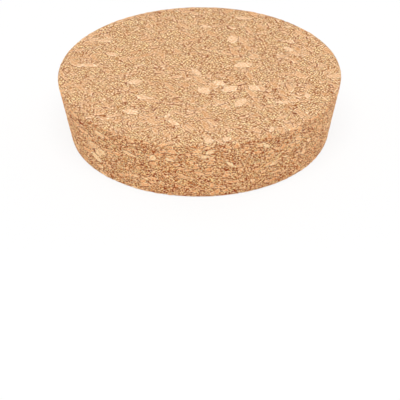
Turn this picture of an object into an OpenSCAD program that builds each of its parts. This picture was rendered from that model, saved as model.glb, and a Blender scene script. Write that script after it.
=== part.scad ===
// Round tapered stopper of agglomerated cork, for the mouth of a wide jar.
// One solid: it is cut from a pressed block, turned to a taper and sanded, and it
// keeps the small hollows where single granules have torn out of its surface.
// The origin is the centre of the narrow face, and +Z runs towards the wide face.
// Azimuths are in degrees about +Z, from +X, and -90 is the front.

/* [Body] */
// Diameter of the wide face, measured to the corner before its edge is rounded
top_d = 100; // [96:0.5:140]
// Diameter of the narrow face, which enters the mouth first, measured likewise
bottom_d = 91.5; // [70:0.5:95]
// Height between the two faces
height = 23; // [14:0.5:45]

/* [Edges] */
// Radius of the worn edge round the wide face
top_edge_r = 0.8; // [0.3:0.1:2]
// Radius of the edge round the narrow face
bottom_edge_r = 0.5; // [0.3:0.1:2]

/* [Torn-out granules] */
// Width of a hollow in a flat face, where the pressed granules lie flat
hollow_w = 1.3; // [0.6:0.1:3]
// Width of a hollow up the side, where the granules show their thin edges
hollow_t = 0.8; // [0.4:0.1:2]
// Depth of a hollow below the surface
hollow_depth = 0.5; // [0.2:0.05:1.2]

/* [Hidden] */
$fn = 96;

// The half section has its corners at the rims, and its edges are rounded there.
bottom_centre = [0, 0];
bottom_corner = [bottom_d / 2, 0];
top_corner = [top_d / 2, height];
top_centre = [0, height];

// How far the side leans outwards, from the axis
side_lean = atan((top_d - bottom_d) / 2 / height);

// Corners round a hollow, and how far a corner may fall short of the full width
hollow_corners = 6;
hollow_roughness = 0.35;
// A hollow's walls close in to this share of its width at the floor.
floor_share = 0.5;
// The cutter of a hollow reaches this far out of the surface.
cutter_reach = 0.3;
// Turn from one hollow to the next that never lines them up
golden_turn = 180 * (3 - sqrt(5));

// Hollows in the wide face: azimuth, distance from the axis as a share of the radius, and size
WIDE_FACE_HOLLOWS = [
    [-19, 0.955, 1.5], [-30, 0.87, 1], [-69, 0.66, 0.9], [-98, 0.51, 0.8], [4, 0.66, 0.8],
    [-4, 0.81, 0.9], [-122, 0.21, 0.7], [-40, 0.81, 0.8], [137, 0.93, 0.8], [173, 0.73, 0.7]
];
// Hollows in the front of the side: azimuth, share of the way up, and size
SIDE_HOLLOWS = [
    [-162, 0.28, 1], [-142, 0.2, 0.9], [-128, 0.61, 1], [-122, 0.13, 1.1], [-111, 0.75, 1.3],
    [-106, 0.83, 1.1], [-99, 0.63, 1], [-85, 0.8, 1.2], [-83, 0.71, 1], [-80, 0.41, 1],
    [-75, 0.5, 1.1], [-74, 0.71, 1], [-71, 0.26, 0.9], [-17, 0.75, 0.9]
];
// Granules broken out of the wide rim: azimuth and size
WIDE_RIM_BREAKS = [
    [50, 1.7], [74, 1.2], [105, 0.9], [145, 1.1], [153, 1], [-138, 1], [-120, 1.3], [-117, 1],
    [-109, 0.9], [-85, 1.1], [-70, 0.9], [-61, 1.2], [-4, 1], [20, 0.8], [-165, 0.8]
];
// Granules broken out of the narrow rim: azimuth and size
NARROW_RIM_BREAKS = [
    [-137, 1], [-130, 1.2], [-115, 1.1], [-106, 1], [-73, 1.2], [-66, 0.9], [-49, 1.3],
    [-42, 1.1], [-30, 0.9], [35, 1], [100, 1.2], [160, 1]
];
// The back of the side and the narrow face have hollows too, scattered by rule.
back_hollows = 14;
narrow_face_hollows = 12;
// On the side they lie between these shares of the height,
side_band = [0.15, 0.85];
// and on the narrow face between these shares of the radius.
face_band = [0.4, 0.92];

function unit(v) = v / norm(v);

// Half of the angle between the two edges that meet in a corner
function half_angle(before, corner, after) =
    acos(unit(before - corner) * unit(after - corner)) / 2;

// Where a round of radius r starts, on the edge from the corner towards a neighbour
function round_start(corner, towards, half, r) =
    corner + unit(towards - corner) * r / tan(half);

// From a corner towards the middle of its round
function inwards(before, corner, after) =
    unit(unit(before - corner) + unit(after - corner));

// Centre of a round of radius r in a corner
function round_centre(before, corner, after, r) =
    corner + inwards(before, corner, after) * r / sin(half_angle(before, corner, after));

// Radius of the tapered side at a height
function side_radius(z) = bottom_d / 2 + z * tan(side_lean);

// The value a share t of the way through a band
function within(band, t) = band[0] + (band[1] - band[0]) * t;

// Share of the radius of scattered hollow i of n, with equal areas between one and the next
function share_out(i, n) = sqrt(within([face_band[0] ^ 2, face_band[1] ^ 2], i / n));

// Size of a scattered hollow, from 0.7 to 1.3 and the same at each build
function scattered_size(seed) = rands(0.7, 1.3, 1, seed)[0];

// The corners of a hollow at one depth, as a flat irregular outline
function hollow_ring(across, along, z, shortfall) = [
    for (i = [0 : hollow_corners - 1])
        let (turn = 360 * i / hollow_corners, share = (1 - shortfall[i]) / 2)
        [across * share * cos(turn), along * share * sin(turn), z]
];

// Half section of the stopper, with a true arc in each corner
module half_section() {
    bottom_half = half_angle(bottom_centre, bottom_corner, top_corner);
    top_half = half_angle(bottom_corner, top_corner, top_centre);
    polygon([
        bottom_centre,
        round_start(bottom_corner, bottom_centre, bottom_half, bottom_edge_r),
        round_start(bottom_corner, top_corner, bottom_half, bottom_edge_r),
        round_start(top_corner, bottom_corner, top_half, top_edge_r),
        round_start(top_corner, top_centre, top_half, top_edge_r),
        top_centre
    ]);
    translate(round_centre(bottom_centre, bottom_corner, top_corner, bottom_edge_r))
        circle(bottom_edge_r);
    translate(round_centre(bottom_corner, top_corner, top_centre, top_edge_r))
        circle(top_edge_r);
}

// Cutter for one hollow of a size. The surface is at z = 0, and the hollow opens towards +Z.
module hollow(across, along, size) {
    n = hollow_corners;
    depth = hollow_depth * size;
    shortfall = rands(0, hollow_roughness, n, 1000 * size + across);
    mouth = size * (1 + (1 - floor_share) * cutter_reach / depth);
    floor = size * floor_share;
    polyhedron(
        points = concat(
            hollow_ring(across * mouth, along * mouth, cutter_reach, shortfall),
            hollow_ring(across * floor, along * floor, -depth, shortfall),
            [[0, 0, cutter_reach], [0, 0, -depth]]
        ),
        faces = concat(
            [for (i = [0 : n - 1]) [2 * n, (i + 1) % n, i]],
            [for (i = [0 : n - 1]) [i, (i + 1) % n, n + (i + 1) % n]],
            [for (i = [0 : n - 1]) [i, n + (i + 1) % n, n + i]],
            [for (i = [0 : n - 1]) [2 * n + 1, n + i, n + (i + 1) % n]]
        )
    );
}

// Hollow in a flat face of diameter d that lies at z = 0 and looks towards +Z
module face_hollow(d, azimuth, share, size) {
    rotate([0, 0, azimuth])
        translate([share * d / 2, 0, 0])
            hollow(hollow_w, hollow_w, size);
}

// Hollow in the tapered side, longer round it than up it
module side_hollow(azimuth, share_up, size) {
    z = share_up * height;
    rotate([0, 0, azimuth])
        translate([side_radius(z), 0, z])
            rotate([0, 90 + side_lean, 0])
                hollow(hollow_t, hollow_w, size);
}

// Granule broken out of the rounded edge in a corner of the half section
module rim_break(before, corner, after, edge_r, azimuth, size) {
    centre = round_centre(before, corner, after, edge_r);
    outwards = -inwards(before, corner, after);
    rim = centre + outwards * edge_r;
    rotate([0, 0, azimuth])
        translate([rim[0], 0, rim[1]])
            rotate([0, atan2(outwards[0], outwards[1]), 0])
                hollow(hollow_t, hollow_w, size);
}

module wide_face_hollows() {
    translate([0, 0, height])
        for (h = WIDE_FACE_HOLLOWS) face_hollow(top_d, h[0], h[1], h[2]);
}

module narrow_face_hollows() {
    rotate([180, 0, 0])
        for (i = [1 : narrow_face_hollows])
            face_hollow(bottom_d, golden_turn * i, share_out(i, narrow_face_hollows),
                scattered_size(i));
}

module side_hollows() {
    for (h = SIDE_HOLLOWS) side_hollow(h[0], h[1], h[2]);
    for (i = [1 : back_hollows])
        side_hollow(180 * i / (back_hollows + 1), within(side_band, golden_turn * i % 360 / 360),
            scattered_size(i));
}

module rim_breaks() {
    for (b = WIDE_RIM_BREAKS)
        rim_break(bottom_corner, top_corner, top_centre, top_edge_r, b[0], b[1]);
    for (b = NARROW_RIM_BREAKS)
        rim_break(bottom_centre, bottom_corner, top_corner, bottom_edge_r, b[0], b[1]);
}

module stopper() {
    color("burlywood")
        difference() {
            rotate_extrude() half_section();
            wide_face_hollows();
            narrow_face_hollows();
            side_hollows();
            rim_breaks();
        }
}

stopper();
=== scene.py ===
"""A tapered stopper of agglomerated cork, dressed for its render.

The CAD solid gives the form. This script lays a fine mesh over it, presses the granules' relief
into that mesh and paints them with one procedural pattern that the relief and the colour share.
Meshes, lamps and the camera are in metres. The pattern is in millimetres.
"""

import math

import bpy
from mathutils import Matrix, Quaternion, Vector
from mathutils.bvhtree import BVHTree


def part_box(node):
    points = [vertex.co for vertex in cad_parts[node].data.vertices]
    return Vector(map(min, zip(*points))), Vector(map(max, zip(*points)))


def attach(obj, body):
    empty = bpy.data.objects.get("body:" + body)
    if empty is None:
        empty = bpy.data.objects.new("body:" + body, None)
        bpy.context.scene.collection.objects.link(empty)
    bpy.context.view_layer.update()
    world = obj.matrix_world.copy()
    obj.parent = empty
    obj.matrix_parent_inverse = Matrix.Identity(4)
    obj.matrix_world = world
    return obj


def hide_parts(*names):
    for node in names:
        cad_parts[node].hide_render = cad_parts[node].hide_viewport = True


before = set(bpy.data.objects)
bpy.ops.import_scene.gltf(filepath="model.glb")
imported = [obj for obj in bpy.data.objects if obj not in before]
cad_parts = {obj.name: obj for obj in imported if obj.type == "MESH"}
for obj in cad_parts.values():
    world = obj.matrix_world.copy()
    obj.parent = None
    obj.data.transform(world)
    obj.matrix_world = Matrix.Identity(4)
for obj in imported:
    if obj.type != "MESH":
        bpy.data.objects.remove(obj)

MM = 0.001
BODY = "root"
NODE = "stopper"

# ---- Mesh over the CAD solid ----
RIM_POINTS = 672  # points round each rim, a multiple of both steps below
TOP_RING_STEP = 6  # points that each ring of the wide face has more than the ring inside it
BOTTOM_RING_STEP = 12  # and each ring of the narrow face, which is coarser
CORE_MARGIN = 12 * MM  # the core that the rays start from stays this far inside the side
SIDE_PROBES = 16  # azimuths at which the side's radius is read
PROBE_MARGIN = 0.2  # heights of those probes, as a share from each face
MIN_ROW = 0.3 * MM  # a face's outermost row lies this far from its sharp corner

# ---- UV layout: both faces side by side, and the side in strips above them ----
UV_MAP = "OFBake"
UV_GAP = 2 * MM
SIDE_STRIPS = 3
FIRST_CUT = 90  # azimuth of the cut at the back, in degrees

# ---- Pattern of the pressed granules, in mm ----
# Granules lie in layers, from the small ones to the large ones that cover them. Each layer has its
# granules' width, the share of them that show, how much their tones differ, how pale they are, and
# how they lie: tilts and direction in degrees.
GRANULE_LAYERS = (
    (0.5, 0.35, 0.05, -0.04, (9, -7, 50)),
    (0.65, 0.35, 0.05, -0.04, (-11, 6, 140)),
    (0.85, 0.30, 0.04, -0.05, (6, 10, 20)),
    (1.15, 0.26, 0.04, -0.05, (-9, -8, 95)),
    (1.55, 0.22, 0.03, -0.05, (11, 4, 160)),
    (2.1, 0.16, 0.025, -0.045, (-5, 9, 60)),
    (2.4, 0.012, 0.02, 0.02, (4, -3, 10)),
)
STRETCH = 2.6  # length of a granule for a width of 1
PRESSING = 1.55  # width of a granule for a thickness of 1
LAYER_STEP = 31.7  # each layer is cut from the pattern this far from the one before
CALM_W = 1.5  # a granule this wide, or wider, has none of the crumbs' unrest
# Crumbs fill what the granules leave free, and grit roughens the crumbs.
CRUMB_W = 0.4
CRUMB_PRESSING = 1.3  # width of a crumb for a thickness of 1
GRIT_W = 0.28
SIDE_GRIT = (0.75, 0.75, 1.45)  # on the side the grit is shrunk by this, so that it lies flat
GRIT_REACH = 0.5  # grains this far apart are made to differ in tone,
FAR_REACH = 0.75  # and on the faces this far apart from front to back
TOP_EVENNESS = 0.95  # share of the mean tone about a grain that is taken off it
SIDE_EVENNESS = 0.5
# Streaks run along the inside of a granule.
STREAK_W = 0.38
STREAK_STRETCH = 3.0  # length of a streak for a width of 1
# A dark seam lies in the gap between two granules, partly the binder's own dark and partly painted
# shade in the gap, and a pale rim lies inside it.
SEAM_AND_SHADE_W = 0.08  # how far a seam reaches from the middle of the gap
SEAM_AND_SHADE_SOFT = 0.04
SIDE_OUTLINE_SCALE = 1.3  # seams and rims are this much wider on the side
BREAK_W = 0.4  # width of the breaks in a seam
SEAM_AND_SHADE_BREAKS = (0.36, 0.6)  # a seam is broken where a noise is below the first, whole above the other
RIM_FROM = 0.14  # the rim is palest this far from the gap,
RIM_TO = 0.3  # and ends here
# Swirls that bend the pattern: their width, and how far they push it
GRANULE_SWIRL = (6.0, 0.8)
GRANULE_FRAY = (0.7, 0.05)
CRUMB_SWIRL = (0.9, 0.15)
FLAKE_SWIRL = (1.5, 0.35)

# ---- Pale flakes that stand out, in mm and degrees ----
# A scratch program found these flakes in the photograph and printed their places, directions and
# sizes. Places and directions are rounded here, and the sizes are enlarged.
# In the wide face: x, y, length, width and direction
FACE_FLAKES = (
    (10.5, -12, 6.5, 4.5, 35), (15.5, 5, 7, 4.5, 10), (1.5, -13, 6, 4, 130),
    (14, -21.5, 7, 3.5, 55), (-23.5, -27, 6.5, 3.5, 160), (19, -11.5, 5, 4, 140),
    (7, -8, 5.5, 3.2, 150), (-1, 0, 7.5, 2.4, 120), (28.5, -21.5, 6, 2.2, 0),
    (-22.5, -6.5, 6, 3.5, 15), (9, -45.5, 4, 3, 50), (3, -46.5, 4, 3.4, 110),
    (12, 24, 6.5, 4, 95), (32, 16.5, 5, 2.4, 135), (-31, 13.5, 5, 2.6, 165),
    (2.5, 34, 4.5, 2, 170), (-11, -30, 4.6, 2, 65), (24, -39.5, 4, 2, 75),
    (37, -17, 4, 2.2, 100), (-42, 5.5, 4, 2.2, 40),
)
# In the side: azimuth, height, length, thickness and slope
SIDE_FLAKES = (
    (-139, 7, 6.5, 2.8, -23), (-86, 20, 4.5, 2, 25), (-88, 18, 4, 1.4, 0),
    (-78, 14, 4.5, 1.6, -45), (-63, 19, 3.6, 1.6, -30), (-102, 16, 4, 1.5, -15),
    (-109, 16, 3.2, 2.4, 70), (-59, 10, 3.4, 1.8, 25),
)
FLAKE_SINK = 1.5  # how deep a single flake reaches below the surface
FLAKE_TONE = 0.055
FLAKE_CALM = 1.3  # its groove and outline are this much stronger than a wide granule's

# ---- Relief, in mm ----
LEVEL_MEAN = 0.06  # depth of a granule with a tone of 0
LEVEL_STEP = 0.3  # a granule lies this much higher for a tone of 1
GROOVE_W = 0.3  # how far a groove reaches from the middle of the gap
GROOVE_DEPTH = 0.14
CRUMBLY_DEPTH = 0.08  # crumbs lie this much lower than flakes
# The finest relief is left to the shader.
BUMP_W = 0.45
BUMP_DEPTH = 0.12
CALM_BUMP = 0.3  # share of the bumps' height that is left inside a flake
EDGE_BUMP = 0.3  # the bump that rounds a granule's edge, as a share of the bumps' height
EDGE_W = 0.2

# ---- Tones, as shares of full display brightness ----
TOP_TONE = 0.707  # mean of the two faces
# The side's mean tone is set for how light falls on it: painted light against its dimmer lighting.
SIDE_TONE = 0.795
SIDE_CONTRAST = 1.4  # tones differ this much more on the side
CRUMB_SPREAD = 0.11  # how far a crumb's tone may be from the mean
GRIT_SPREAD = 0.72
CALM_GRIT = 0.2  # share of the grit's spread that is left inside a flake
STREAK_SPREAD = 0.11
SEAM_AND_SHADE_DARK = 0.95
RIM_LIFT = 0.16
# Where the faces' colours give way to the side's, in mm past the rim. The border wanders.
BORDER = (-0.2, 0.3)
BORDER_REACH = 1.5
BORDER_W = 1.6

# ---- Colours in sRGB, 0 to 255, each with the tone that it stands for ----
TOP_TONES = (
    (0.15, (106, 22, 0)),
    (0.40, (154, 82, 8)),
    (0.58, (198, 139, 81)),
    (0.72, (222, 179, 138)),
    (0.83, (244, 209, 172)),
    (0.97, (254, 241, 208)),
)
# The side has its own copy of the colours, paler and warmer than the faces': painted light that
# makes up for the side's dimmer lighting, and the warm cast of painted shade.
SIDE_TONES = (
    (0.15, (124, 10, 0)),
    (0.39, (174, 66, 0)),
    (0.57, (217, 130, 58)),
    (0.73, (242, 181, 126)),
    (0.86, (254, 211, 159)),
    (0.99, (254, 236, 192)),
)
# What the colour of a crumb is multiplied by, from the reddest to the palest crumb
RED_CRUMB = (1.0, 0.885, 0.65, 1.0)
PALE_CRUMB = (1.0, 0.99, 0.84, 1.0)
NO_CAST = (1.0, 1.0, 1.0, 1.0)
ROUGHNESS = 0.9
SPECULAR = 0.15

# ---- Studio ----
WHITE = (1, 1, 1, 1)
WORLD_LIGHT = 0.55
FLOOR_REACH = 3.0  # half the floor's length
FLOOR_PAINT = (0.85, 0.85, 0.85, 1)
FLOOR_GLOW = 0.85  # share of plain white in the floor that the camera sees
LAMP_TARGET = (0, 0, 0.01)
KEY_PLACE = (0, -0.40, 0.92)
KEY_SIZE = 0.7
KEY_POWER = 6.6
# Two weak lamps behind, to the left and the right, that light the ends of the side
REAR_PLACES = ((-0.57, 0.40, 0.2), (0.57, 0.40, 0.2))
REAR_SIZE = 0.4
REAR_POWER = 1.3

# ---- Camera, fitted to the photograph ----
CAMERA_DISTANCE = 0.72  # from the stopper's middle
CAMERA_ELEVATION = 30.065  # in degrees, as are the next three
CAMERA_PITCH = 32.88
CAMERA_ROLL = 0.50
CAMERA_TURN = 0.018
CAMERA_LENS = 182.7  # in mm, as is the sensor
SENSOR_W = 36.0


# ---------------------------------------------------------------- mesh


def cad_surface():
    """The CAD node's mesh as a tree that rays can be cast at."""
    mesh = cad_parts[NODE].data
    mesh.calc_loop_triangles()
    triangles = [tuple(t.vertices) for t in mesh.loop_triangles]
    return BVHTree.FromPolygons([v.co.copy() for v in mesh.vertices], triangles)


def side_radius_at(surface, z):
    """Largest radius of the side at a height, so that a hollow there doesn't count."""
    turns = [2 * math.pi * i / SIDE_PROBES for i in range(SIDE_PROBES)]
    rays = [Vector((math.cos(t), math.sin(t), 0)) for t in turns]
    hits = [surface.ray_cast(Vector((0, 0, z)), ray)[0] for ray in rays]
    return max(hit.xy.length for hit in hits)


def corner_radii(surface, height):
    """Radii of the narrow and the wide face's sharp corners, where the side's line meets them."""
    low = PROBE_MARGIN * height
    high = (1 - PROBE_MARGIN) * height
    r_low = side_radius_at(surface, low)
    r_high = side_radius_at(surface, high)
    lean = (r_high - r_low) / (high - low)
    return r_low - lean * low, r_high + lean * (height - high)


def profile_rows(bottom_r, top_r, height):
    """(radius, height, points round, distance past the nearest rim) of each row of the mesh, from
    the narrow face's middle, out to its rim, up the side and in to the wide face's middle. The
    distance is above 0 on the side and below 0 on the faces."""
    bottom_rings = RIM_POINTS // BOTTOM_RING_STEP
    top_rings = RIM_POINTS // TOP_RING_STEP
    side_length = math.hypot(top_r - bottom_r, height)
    steps = round(side_length / (top_r / top_rings))
    rows = []
    for i in range(bottom_rings):
        radius = bottom_r * i / bottom_rings
        rows.append((radius, 0.0, BOTTOM_RING_STEP * i, radius - bottom_r))
    rows.append((bottom_r - MIN_ROW, 0.0, RIM_POINTS, -MIN_ROW))
    for i in range(steps + 1):
        share = i / steps
        radius = bottom_r + (top_r - bottom_r) * share
        rows.append((radius, height * share, RIM_POINTS, side_length * min(share, 1 - share)))
    rows.append((top_r - MIN_ROW, height, RIM_POINTS, -MIN_ROW))
    for i in reversed(range(top_rings)):
        radius = top_r * i / top_rings
        rows.append((radius, height, TOP_RING_STEP * i, radius - top_r))
    return rows


def row_points(row, index):
    """The points of a row. Every other row is turned by half a step, to keep triangles even."""
    radius, z, count, _ = row
    if count == 0:
        return [Vector((0, 0, z))]
    turns = [2 * math.pi * (i + 0.5 * (index % 2)) / count for i in range(count)]
    return [Vector((radius * math.cos(t), radius * math.sin(t), z)) for t in turns]


def stitch(first, n, second, m):
    """Triangles between two rows, of n points from index first and m from index second. A row of
    one point is the middle of a face."""
    if n == 1:
        return [(first, second + (j + 1) % m, second + j) for j in range(m)]
    if m == 1:
        return [(first + i, first + (i + 1) % n, second) for i in range(n)]
    faces = []
    i = j = 0
    while i < n or j < m:
        if j >= m or (i < n and (i + 1) * m <= (j + 1) * n):
            faces.append((first + i % n, first + (i + 1) % n, second + j % m))
            i += 1
        else:
            faces.append((first + i % n, second + (j + 1) % m, second + j % m))
            j += 1
    return faces


def cast_outwards(surface, points, core_r, middle):
    """Each point moved onto the CAD surface, along the ray from the flat core inside the stopper."""
    placed = []
    for p in points:
        out = min(1.0, core_r / max(p.xy.length, core_r))
        start = Vector((p.x * out, p.y * out, middle))
        placed.append(surface.ray_cast(start, (p - start).normalized())[0])
    return placed


def strip_places(corners, bottom_r, top_r, height):
    """Where a triangle of the side lies in its strip of the UV layout, in m."""
    mean_r = (bottom_r + top_r) / 2
    strip_height = math.hypot(top_r - bottom_r, height)
    strip_turn = 2 * math.pi / SIDE_STRIPS
    middle = sum(corners, Vector())
    middle_azimuth = math.atan2(middle.y, middle.x)
    middle_turn = (middle_azimuth - math.radians(FIRST_CUT)) % (2 * math.pi)
    strip = int(middle_turn / strip_turn)
    start = 2 * top_r + 2 * UV_GAP + strip * (strip_height + UV_GAP)
    places = []
    for corner in corners:
        ahead = math.remainder(math.atan2(corner.y, corner.x) - middle_azimuth, 2 * math.pi)
        along = (middle_turn + ahead - strip * strip_turn) * mean_r
        places.append((UV_GAP + along, start + strip_height * corner.z / height))
    return places


def laid_flat(corners, levels, bottom_r, top_r, height):
    """Where a triangle between two rows lies in the UV layout, as shares of the layout's width.
    The levels are the heights of the two rows."""
    width = 2 * (bottom_r + top_r) + 3 * UV_GAP
    if levels == (height, height):
        places = [(UV_GAP + top_r + c.x, UV_GAP + top_r + c.y) for c in corners]
    elif levels == (0.0, 0.0):
        over = 2 * (UV_GAP + top_r) + bottom_r
        places = [(over + c.x, UV_GAP + bottom_r - c.y) for c in corners]
    else:
        places = strip_places(corners, bottom_r, top_r, height)
    return [share / width for place in places for share in place]


def stopper_mesh(surface, bottom_r, top_r, height):
    """A closed mesh of even triangles on the CAD surface, hollows and all. It keeps how far each
    point lies past the rim, in mm."""
    points, faces, starts, past_rims, uv = [], [], [], [], []
    rows = profile_rows(bottom_r, top_r, height)
    for index, row in enumerate(rows):
        starts.append(len(points))
        points += row_points(row, index)
        past_rims += [row[3] / MM] * (len(points) - starts[-1])
    for a in range(len(rows) - 1):
        band = stitch(starts[a], max(rows[a][2], 1), starts[a + 1], max(rows[a + 1][2], 1))
        levels = (rows[a][1], rows[a + 1][1])
        for face in band:
            uv += laid_flat([points[i] for i in face], levels, bottom_r, top_r, height)
        faces += band
    placed = cast_outwards(surface, points, bottom_r - CORE_MARGIN, height / 2)
    mesh = bpy.data.meshes.new("cork_stopper")
    mesh.from_pydata(placed, [], faces)
    mesh.shade_smooth()
    mesh.attributes.new("past_rim", "FLOAT", "POINT").data.foreach_set("value", past_rims)
    mesh.uv_layers.new(name=UV_MAP).data.foreach_set("uv", uv)
    return mesh


# ---------------------------------------------------------------- nodes


class Graph:
    """Adds nodes to a shader or a geometry tree. Each value is a number, a tuple or an output."""

    def __init__(self, tree):
        self.tree = tree
        tree.nodes.clear()

    def node(self, kind, **settings):
        """A new node of a kind, with its settings."""
        made = self.tree.nodes.new(kind)
        for name, value in settings.items():
            setattr(made, name, value)
        return made

    def feed(self, socket, value):
        """Links an output to an input, or sets the input to a constant."""
        if isinstance(value, bpy.types.NodeSocket):
            self.tree.links.new(value, socket)
        else:
            socket.default_value = value

    def feed_all(self, node, values):
        """Feeds a node's first inputs, in order."""
        for socket, value in zip(node.inputs, values):
            self.feed(socket, value)

    def math(self, operation, *values):
        """A number worked out from up to three others."""
        made = self.node("ShaderNodeMath", operation=operation)
        self.feed_all(made, values)
        return made.outputs[0]

    def vector(self, operation, *values):
        """A vector worked out from one or two others."""
        made = self.node("ShaderNodeVectorMath", operation=operation)
        self.feed_all(made, values)
        return made.outputs["Vector"]

    def dot(self, a, b):
        """The dot product of two vectors, a number."""
        made = self.node("ShaderNodeVectorMath", operation="DOT_PRODUCT")
        self.feed_all(made, (a, b))
        return made.outputs["Value"]

    def scaled(self, vector, factor):
        """A vector times a number."""
        made = self.node("ShaderNodeVectorMath", operation="SCALE")
        self.feed(made.inputs["Vector"], vector)
        self.feed(made.inputs["Scale"], factor)
        return made.outputs["Vector"]

    def rise(self, value, start, end):
        """0 before start, 1 after end and a smooth step between. With start above end it falls."""
        made = self.node("ShaderNodeMapRange", interpolation_type="SMOOTHSTEP")
        self.feed(made.inputs["Value"], value)
        self.feed(made.inputs["From Min"], min(start, end))
        self.feed(made.inputs["From Max"], max(start, end))
        if start > end:
            made.inputs["To Min"].default_value = 1.0
            made.inputs["To Max"].default_value = 0.0
        return made.outputs["Result"]

    def mixed(self, inputs, output, values, **settings):
        """A mix node's output. The node has sockets for every kind of value, so each kind of value
        has its own three inputs and its own output, by number."""
        made = self.node("ShaderNodeMix", **settings)
        for socket, value in zip(inputs, values):
            self.feed(made.inputs[socket], value)
        return made.outputs[output]

    def blend(self, share, a, b):
        """The number a where share is 0, b where it is 1."""
        return self.mixed((0, 2, 3), 0, (share, a, b), data_type="FLOAT")

    def blend_vector(self, share, a, b):
        """The vector a where share is 0, b where it is 1."""
        return self.mixed((0, 4, 5), 1, (share, a, b), data_type="VECTOR")

    def tint(self, share, a, b, blend_type="MIX"):
        """The colour a where share is 0, b (or a times b, with MULTIPLY) where it is 1."""
        return self.mixed((0, 6, 7), 2, (share, a, b), data_type="RGBA", blend_type=blend_type)

    def rotated(self, vector, degrees):
        """A vector turned about X, Y and Z."""
        made = self.node("ShaderNodeVectorRotate", rotation_type="EULER_XYZ")
        self.feed(made.inputs["Vector"], vector)
        made.inputs["Rotation"].default_value = [math.radians(d) for d in degrees]
        return made.outputs["Vector"]

    def noise(self, place, width, detail=2.0):
        """Noise with features of a width: its value, about 0.5, and its three-way colour."""
        made = self.node("ShaderNodeTexNoise", noise_dimensions="3D")
        self.feed(made.inputs["Vector"], place)
        made.inputs["Scale"].default_value = 1 / width
        made.inputs["Detail"].default_value = detail
        return made.outputs[0], made.outputs["Color"]

    def cells(self, place, width, feature="F1"):
        """The node for cells of a width."""
        made = self.node("ShaderNodeTexVoronoi", voronoi_dimensions="3D", feature=feature)
        self.feed(made.inputs["Vector"], place)
        made.inputs["Scale"].default_value = 1 / width
        return made

    def grains(self, place, width):
        """Cells of a width: two random numbers for each, and the distance to the gap in mm."""
        inside = self.cells(place, width)
        split = self.node("ShaderNodeSeparateXYZ")
        self.tree.links.new(inside.outputs["Color"], split.inputs[0])
        edge = self.cells(place, width, "DISTANCE_TO_EDGE")
        gap = self.math("MULTIPLY", edge.outputs["Distance"], width)
        return split.outputs[0], split.outputs[1], gap


# ---------------------------------------------------------------- granules


def warped(g, place, width, reach):
    """The place pushed about by up to reach, in swirls of a width."""
    _, push = g.noise(place, width, detail=1.0)
    centred = g.vector("SUBTRACT", push, (0.5, 0.5, 0.5))
    return g.vector("ADD", place, g.scaled(centred, 2 * reach))


def direction_at(azimuth):
    """The level unit vector that points at an azimuth in degrees."""
    turn = math.radians(azimuth)
    return Vector((math.cos(turn), math.sin(turn), 0))


def single_flakes(bottom_r, top_r, height):
    """(middle, axes, half sizes along the axes) of each single flake, in mm."""
    up = Vector((0, 0, 1))
    flakes = []
    for x, y, length, width, direction in FACE_FLAKES:
        along = direction_at(direction)
        axes = (along, Vector((-along.y, along.x, 0)), up)
        flakes.append((Vector((x, y, height)), axes, (length / 2, width / 2, FLAKE_SINK)))
    for azimuth, z, length, thickness, slope in SIDE_FLAKES:
        radius = bottom_r + (top_r - bottom_r) * z / height
        out = direction_at(azimuth)
        tilt = Quaternion(out, math.radians(slope))
        axes = (tilt @ Vector((-out.y, out.x, 0)), tilt @ up, out)
        flakes.append((out * radius + up * z, axes, (length / 2, thickness / 2, FLAKE_SINK)))
    return flakes


def inside_flake(g, place, flake):
    """How far inside a flake the place lies, from 1 in the middle to 0 at its pointed border."""
    middle, axes, sizes = flake
    away = g.vector("SUBTRACT", place, middle)
    along, across, down = [g.dot(away, axis / size) for axis, size in zip(axes, sizes)]
    off = g.math("ADD", g.math("ABSOLUTE", across), g.math("ABSOLUTE", down))
    return g.math("SUBTRACT", 1.0, g.math("MULTIPLY_ADD", along, along, off))


def granules(g, place, flakes):
    """What lies at a place, as a tone about 0, the distance to the gap round it in mm, how calm it
    is, from 0 in crumbs to 1 in wide granules, and the place as squeezed into its own shape."""
    ragged = warped(g, warped(g, place, *GRANULE_SWIRL), *GRANULE_FRAY)
    own_place = warped(g, g.vector("MULTIPLY", place, (1, 1, CRUMB_PRESSING)), *CRUMB_SWIRL)
    _, crumb_tone, gap = g.grains(own_place, CRUMB_W)
    tone = g.math("MULTIPLY_ADD", crumb_tone, 2 * CRUMB_SPREAD, -CRUMB_SPREAD)
    calm = 0.0
    for number, (width, share, spread, lift, lie) in enumerate(GRANULE_LAYERS):
        lying = g.vector("ADD", g.rotated(ragged, lie), (LAYER_STEP * number, 0, 0))
        squeezed = g.vector("MULTIPLY", lying, (1 / STRETCH, 1, PRESSING))
        pick, granule_tone, granule_gap = g.grains(squeezed, width)
        shows = g.math("GREATER_THAN", pick, 1 - share)
        granule_tone = g.math("MULTIPLY_ADD", granule_tone, 2 * spread, lift - spread)
        tone = g.blend(shows, tone, granule_tone)
        gap = g.blend(shows, gap, granule_gap)
        calm = g.blend(shows, calm, min(1.0, width / CALM_W))
        own_place = g.blend_vector(shows, own_place, squeezed)

    torn = warped(g, place, *FLAKE_SWIRL)
    for flake in flakes:
        half_width = flake[2][1]
        inside = inside_flake(g, torn, flake)
        shows = g.math("GREATER_THAN", inside, 0.0)
        tone = g.blend(shows, tone, FLAKE_TONE)
        gap = g.blend(shows, gap, g.math("MULTIPLY", inside, half_width))
        calm = g.blend(shows, calm, FLAKE_CALM)
    return {"tone": tone, "gap": gap, "calm": calm, "own_place": own_place}


# ---------------------------------------------------------------- relief


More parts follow.
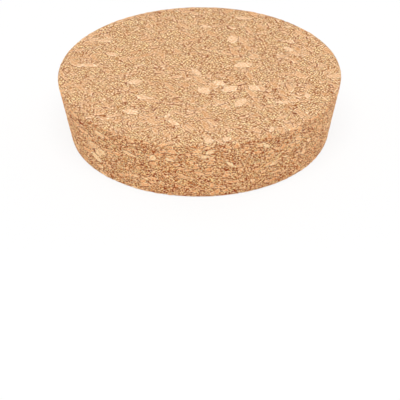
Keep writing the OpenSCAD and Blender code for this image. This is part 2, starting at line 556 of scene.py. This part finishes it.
def relief_depth(g, found):
    """How far the surface lies below the CAD's, in mm."""
    level = g.math("MULTIPLY_ADD", found["tone"], -LEVEL_STEP, LEVEL_MEAN)
    groove = g.math("MULTIPLY", g.rise(found["gap"], GROOVE_W, 0.0), found["calm"])
    crumbly = g.math("MULTIPLY_ADD", found["calm"], -CRUMBLY_DEPTH, CRUMBLY_DEPTH)
    depth = g.math("ADD", level, g.math("MULTIPLY_ADD", groove, GROOVE_DEPTH, crumbly))
    return g.math("MAXIMUM", depth, 0.0)


def relief_tree(flakes):
    """A node tree that keeps each point's place in mm and then presses the relief into the mesh,
    along its own normals."""
    tree = bpy.data.node_groups.new("granule_relief", "GeometryNodeTree")
    tree.interface.new_socket("Geometry", in_out="INPUT", socket_type="NodeSocketGeometry")
    tree.interface.new_socket("Geometry", in_out="OUTPUT", socket_type="NodeSocketGeometry")
    g = Graph(tree)
    start = g.node("NodeGroupInput")
    end = g.node("NodeGroupOutput")
    place = g.scaled(g.node("GeometryNodeInputPosition").outputs[0], 1 / MM)
    depth = relief_depth(g, granules(g, place, flakes))
    normal = g.node("GeometryNodeInputNormal").outputs[0]
    push = g.scaled(normal, g.math("MULTIPLY", depth, -MM))
    store = g.node("GeometryNodeStoreNamedAttribute", data_type="FLOAT_VECTOR", domain="POINT")
    g.feed(store.inputs["Geometry"], start.outputs[0])
    g.feed(store.inputs["Name"], "place")
    g.feed(store.inputs["Value"], place)
    move = g.node("GeometryNodeSetPosition")
    g.feed(move.inputs["Geometry"], store.outputs[0])
    g.feed(move.inputs["Offset"], push)
    g.feed(end.inputs[0], move.outputs[0])
    return tree


def press_relief(obj, flakes):
    """Gives an object the mesh that the relief tree makes of its own."""
    modifier = obj.modifiers.new("relief", "NODES")
    modifier.node_group = relief_tree(flakes)
    bpy.context.view_layer.update()
    evaluated = obj.evaluated_get(bpy.context.evaluated_depsgraph_get())
    pressed = bpy.data.meshes.new_from_object(evaluated)
    obj.modifiers.clear()
    obj.data = pressed


# ---------------------------------------------------------------- material


def linear(colour):
    """An sRGB colour, 0 to 255, as the linear RGBA that a shader takes."""
    shares = [c / 255 for c in colour]
    return tuple(s / 12.92 if s <= 0.04045 else ((s + 0.055) / 1.055) ** 2.4 for s in shares) + (1,)


def tone_ramp(g, tone, tones):
    """The colour of a tone."""
    ramp = g.node("ShaderNodeValToRGB")
    stops = ramp.color_ramp.elements
    stops[0].position = tones[0][0]
    stops[0].color = linear(tones[0][1])
    stops[1].position = tones[-1][0]
    stops[1].color = linear(tones[-1][1])
    for position, colour in tones[1:-1]:
        stops.new(position).color = linear(colour)
    g.feed(ramp.inputs[0], tone)
    return ramp.outputs["Color"]


def side_share(g, place):
    """0 on the faces and 1 on the side, with a border that wanders about the rim."""
    past_rim = g.node("ShaderNodeAttribute", attribute_name="past_rim").outputs["Fac"]
    wander, _ = g.noise(place, BORDER_W)
    wander = g.math("MULTIPLY_ADD", wander, 2 * BORDER_REACH, -BORDER_REACH)
    return g.rise(g.math("ADD", past_rim, wander), *BORDER)


def even_grit(g, place, side):
    """The grit at a place: a hue from 0 to 1, and a tone about 0. The tone is a grain's own less
    the mean of four about it, so that light and dark grains don't gather in patches."""
    squeeze = g.blend_vector(side, (1.0, 1.0, 1.0), SIDE_GRIT)
    hue, tone, _ = g.grains(g.vector("MULTIPLY", place, squeeze), GRIT_W)
    outwards = g.vector("NORMALIZE", g.vector("MULTIPLY", place, (1.0, 1.0, 0.0)))
    round_it = g.vector("CROSS_PRODUCT", (0.0, 0.0, 1.0), outwards)
    first = g.blend_vector(side, (GRIT_REACH, 0.0, 0.0), g.scaled(round_it, GRIT_REACH))
    second = g.blend_vector(side, (0.0, FAR_REACH, 0.0), (0.0, 0.0, GRIT_REACH))
    around = []
    for step in (first, second):
        for operation in ("ADD", "SUBTRACT"):
            beside = g.vector("MULTIPLY", g.vector(operation, place, step), squeeze)
            around.append(g.grains(beside, GRIT_W)[1])
    total = g.math("ADD", g.math("ADD", *around[:2]), g.math("ADD", *around[2:]))
    patch = g.math("MULTIPLY_ADD", total, 1 / len(around), -0.5)
    taken = g.math("MULTIPLY", patch, g.blend(side, TOP_EVENNESS, SIDE_EVENNESS))
    return hue, g.math("SUBTRACT", g.math("SUBTRACT", tone, 0.5), taken)


def streak_tone(g, found):
    """What the streaks along a granule add to its tone."""
    along = g.vector("MULTIPLY", found["own_place"], (1 / STREAK_STRETCH, 1, 1))
    streak, _ = g.noise(along, STREAK_W, detail=1.0)
    return g.math("MULTIPLY", g.math("SUBTRACT", streak, 0.5), 2 * STREAK_SPREAD)


def outline_tone(g, place, found, side):
    """What a granule's outline adds to its tone: a dark and broken seam, which is the binder's dark
    and painted shade in the gap, and a pale rim.
    """
    gap = g.math("DIVIDE", found["gap"], g.blend(side, 1.0, SIDE_OUTLINE_SCALE))
    patchy, _ = g.noise(place, BREAK_W, detail=1.0)
    in_seam_and_shade = g.rise(gap, SEAM_AND_SHADE_W + SEAM_AND_SHADE_SOFT, SEAM_AND_SHADE_W - SEAM_AND_SHADE_SOFT)
    # The seam's dark is the binder's own colour and painted shade in the gap between two granules.
    seam_and_shade = g.math("MULTIPLY", in_seam_and_shade, g.rise(patchy, *SEAM_AND_SHADE_BREAKS))
    rim = g.math("MULTIPLY", g.rise(gap, SEAM_AND_SHADE_W, RIM_FROM), g.rise(gap, RIM_TO, RIM_FROM))
    outline = g.math("MULTIPLY_ADD", rim, RIM_LIFT, g.math("MULTIPLY", seam_and_shade, -SEAM_AND_SHADE_DARK))
    return g.math("MULTIPLY", outline, found["calm"])


def cork_colour(g, place, found):
    """The colour at a place, from its tone and, in crumbs, from the grain's own hue."""
    side = side_share(g, place)
    grit_hue, grit_tone = even_grit(g, place, side)
    spread = g.blend(found["calm"], 2 * GRIT_SPREAD, 2 * GRIT_SPREAD * CALM_GRIT)
    grit = g.math("MULTIPLY", grit_tone, spread)
    # The outline adds painted shade in the gaps between granules, besides the binder's dark seams
    # and the pale rims.
    granule = g.math("ADD", found["tone"], outline_tone(g, place, found, side))
    tone = g.math("ADD", granule, g.math("ADD", grit, streak_tone(g, found)))
    tone = g.math("MULTIPLY", tone, g.blend(side, 1.0, SIDE_CONTRAST))
    # The side's own tones and colours hold painted light and painted shade, set for its dimmer
    # lighting.
    tone = g.math("ADD", tone, g.blend(side, TOP_TONE, SIDE_TONE))
    colour = g.tint(side, tone_ramp(g, tone, TOP_TONES), tone_ramp(g, tone, SIDE_TONES))
    cast = g.tint(found["calm"], g.tint(grit_hue, RED_CRUMB, PALE_CRUMB), NO_CAST)
    return g.tint(1.0, colour, cast, "MULTIPLY")


def finest_relief(g, place, found):
    """Normals bent by the relief that is too fine for the mesh."""
    rough, _ = g.noise(place, BUMP_W)
    rough = g.math("MULTIPLY", rough, g.blend(found["calm"], 1.0, CALM_BUMP))
    edge = g.math("MULTIPLY", g.rise(found["gap"], 0.0, EDGE_W), EDGE_BUMP)
    bump = g.node("ShaderNodeBump")
    g.feed(bump.inputs["Height"], g.math("ADD", edge, rough))
    bump.inputs["Strength"].default_value = 1.0
    bump.inputs["Distance"].default_value = BUMP_DEPTH * MM
    return bump.outputs["Normal"]


def cork_material(flakes):
    """Cork, coloured by the same granules that shape the relief."""
    material = bpy.data.materials.new("cork")
    material.use_nodes = True
    g = Graph(material.node_tree)
    place = g.node("ShaderNodeAttribute", attribute_name="place").outputs["Vector"]
    found = granules(g, place, flakes)
    shader = g.node("ShaderNodeBsdfPrincipled")
    g.feed(shader.inputs["Base Color"], cork_colour(g, place, found))
    g.feed(shader.inputs["Normal"], finest_relief(g, place, found))
    shader.inputs["Roughness"].default_value = ROUGHNESS
    shader.inputs["Specular IOR Level"].default_value = SPECULAR
    out = g.node("ShaderNodeOutputMaterial")
    g.feed(out.inputs["Surface"], shader.outputs["BSDF"])
    return material


# ---------------------------------------------------------------- stage


def shows_backdrop(g):
    """1 for camera, glossy and transmission rays, which show the backdrop itself, and 0 for the rays
    that gather its light."""
    path = g.node("ShaderNodeLightPath")
    seen = g.math("MAXIMUM", path.outputs["Is Camera Ray"], path.outputs["Is Glossy Ray"])
    return g.math("MAXIMUM", seen, path.outputs["Is Transmission Ray"])


def white_floor_material():
    """Nearly white to the camera, with the shadow still on it, and plain pale paint for all else."""
    material = bpy.data.materials.new("floor_white")
    material.use_nodes = True
    g = Graph(material.node_tree)
    paint = g.node("ShaderNodeBsdfDiffuse")
    paint.inputs["Color"].default_value = FLOOR_PAINT
    glow = g.node("ShaderNodeEmission")
    glow.inputs["Color"].default_value = WHITE
    glow.inputs["Strength"].default_value = 1.0
    mix = g.node("ShaderNodeMixShader")
    glow_share = g.math("MULTIPLY", shows_backdrop(g), FLOOR_GLOW)
    g.feed_all(mix, (glow_share, paint.outputs[0], glow.outputs[0]))
    out = g.node("ShaderNodeOutputMaterial")
    g.feed(out.inputs["Surface"], mix.outputs[0])
    return material


def add_floor():
    """A square floor that the stopper stands on."""
    mesh = bpy.data.meshes.new("floor")
    far = FLOOR_REACH
    corners = [(-far, -far, 0), (far, -far, 0), (far, far, 0), (-far, far, 0)]
    mesh.from_pydata(corners, [], [(0, 1, 2, 3)])
    floor = bpy.data.objects.new("floor", mesh)
    bpy.context.scene.collection.objects.link(floor)
    floor.data.materials.append(white_floor_material())


def add_world():
    """White to the camera, and a weaker even light on the object."""
    world = bpy.data.worlds.new("studio")
    bpy.context.scene.world = world
    world.use_nodes = True
    g = Graph(world.node_tree)
    background = g.node("ShaderNodeBackground")
    background.inputs["Color"].default_value = WHITE
    g.feed(background.inputs["Strength"], g.blend(shows_backdrop(g), WORLD_LIGHT, 1.0))
    out = g.node("ShaderNodeOutputWorld")
    g.feed(out.inputs["Surface"], background.outputs[0])


def add_lamp(name, place, size, power):
    """A round soft lamp that points at the stopper."""
    data = bpy.data.lights.new(name, "AREA")
    data.shape = "DISK"
    data.size = size
    data.energy = power
    lamp = bpy.data.objects.new(name, data)
    bpy.context.scene.collection.objects.link(lamp)
    lamp.location = place
    lamp.rotation_mode = "QUATERNION"
    lamp.rotation_quaternion = (Vector(LAMP_TARGET) - Vector(place)).to_track_quat("-Z", "Y")


def add_camera(middle_z):
    """The camera, placed from the stopper's middle."""
    data = bpy.data.cameras.new("camera")
    data.sensor_width = SENSOR_W
    data.lens = CAMERA_LENS
    camera = bpy.data.objects.new("camera", data)
    bpy.context.scene.collection.objects.link(camera)
    up = math.radians(CAMERA_ELEVATION)
    camera.location = (0, -CAMERA_DISTANCE * math.cos(up), middle_z + CAMERA_DISTANCE * math.sin(up))
    camera.rotation_mode = "QUATERNION"
    tilt = Quaternion((1, 0, 0), math.radians(90 - CAMERA_PITCH))
    roll = Quaternion((0, 0, 1), math.radians(-CAMERA_ROLL))
    turn = Quaternion((0, 0, 1), math.radians(CAMERA_TURN))
    camera.rotation_quaternion = turn @ tilt @ roll
    bpy.context.scene.camera = camera


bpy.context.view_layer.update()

surface = cad_surface()
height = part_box(NODE)[1].z
bottom_r, top_r = corner_radii(surface, height)
flakes = single_flakes(bottom_r / MM, top_r / MM, height / MM)
stopper = bpy.data.objects.new("cork_stopper", stopper_mesh(surface, bottom_r, top_r, height))
bpy.context.scene.collection.objects.link(stopper)
press_relief(stopper, flakes)
stopper.data.materials.clear()
stopper.data.materials.append(cork_material(flakes))
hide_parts(NODE)
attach(stopper, BODY)

add_floor()
add_world()
add_lamp("key", KEY_PLACE, KEY_SIZE, KEY_POWER)
for number, place in enumerate(REAR_PLACES):
    add_lamp(f"rear_{number}", place, REAR_SIZE, REAR_POWER)
add_camera(height / 2)
bpy.context.scene.view_settings.view_transform = "Standard"
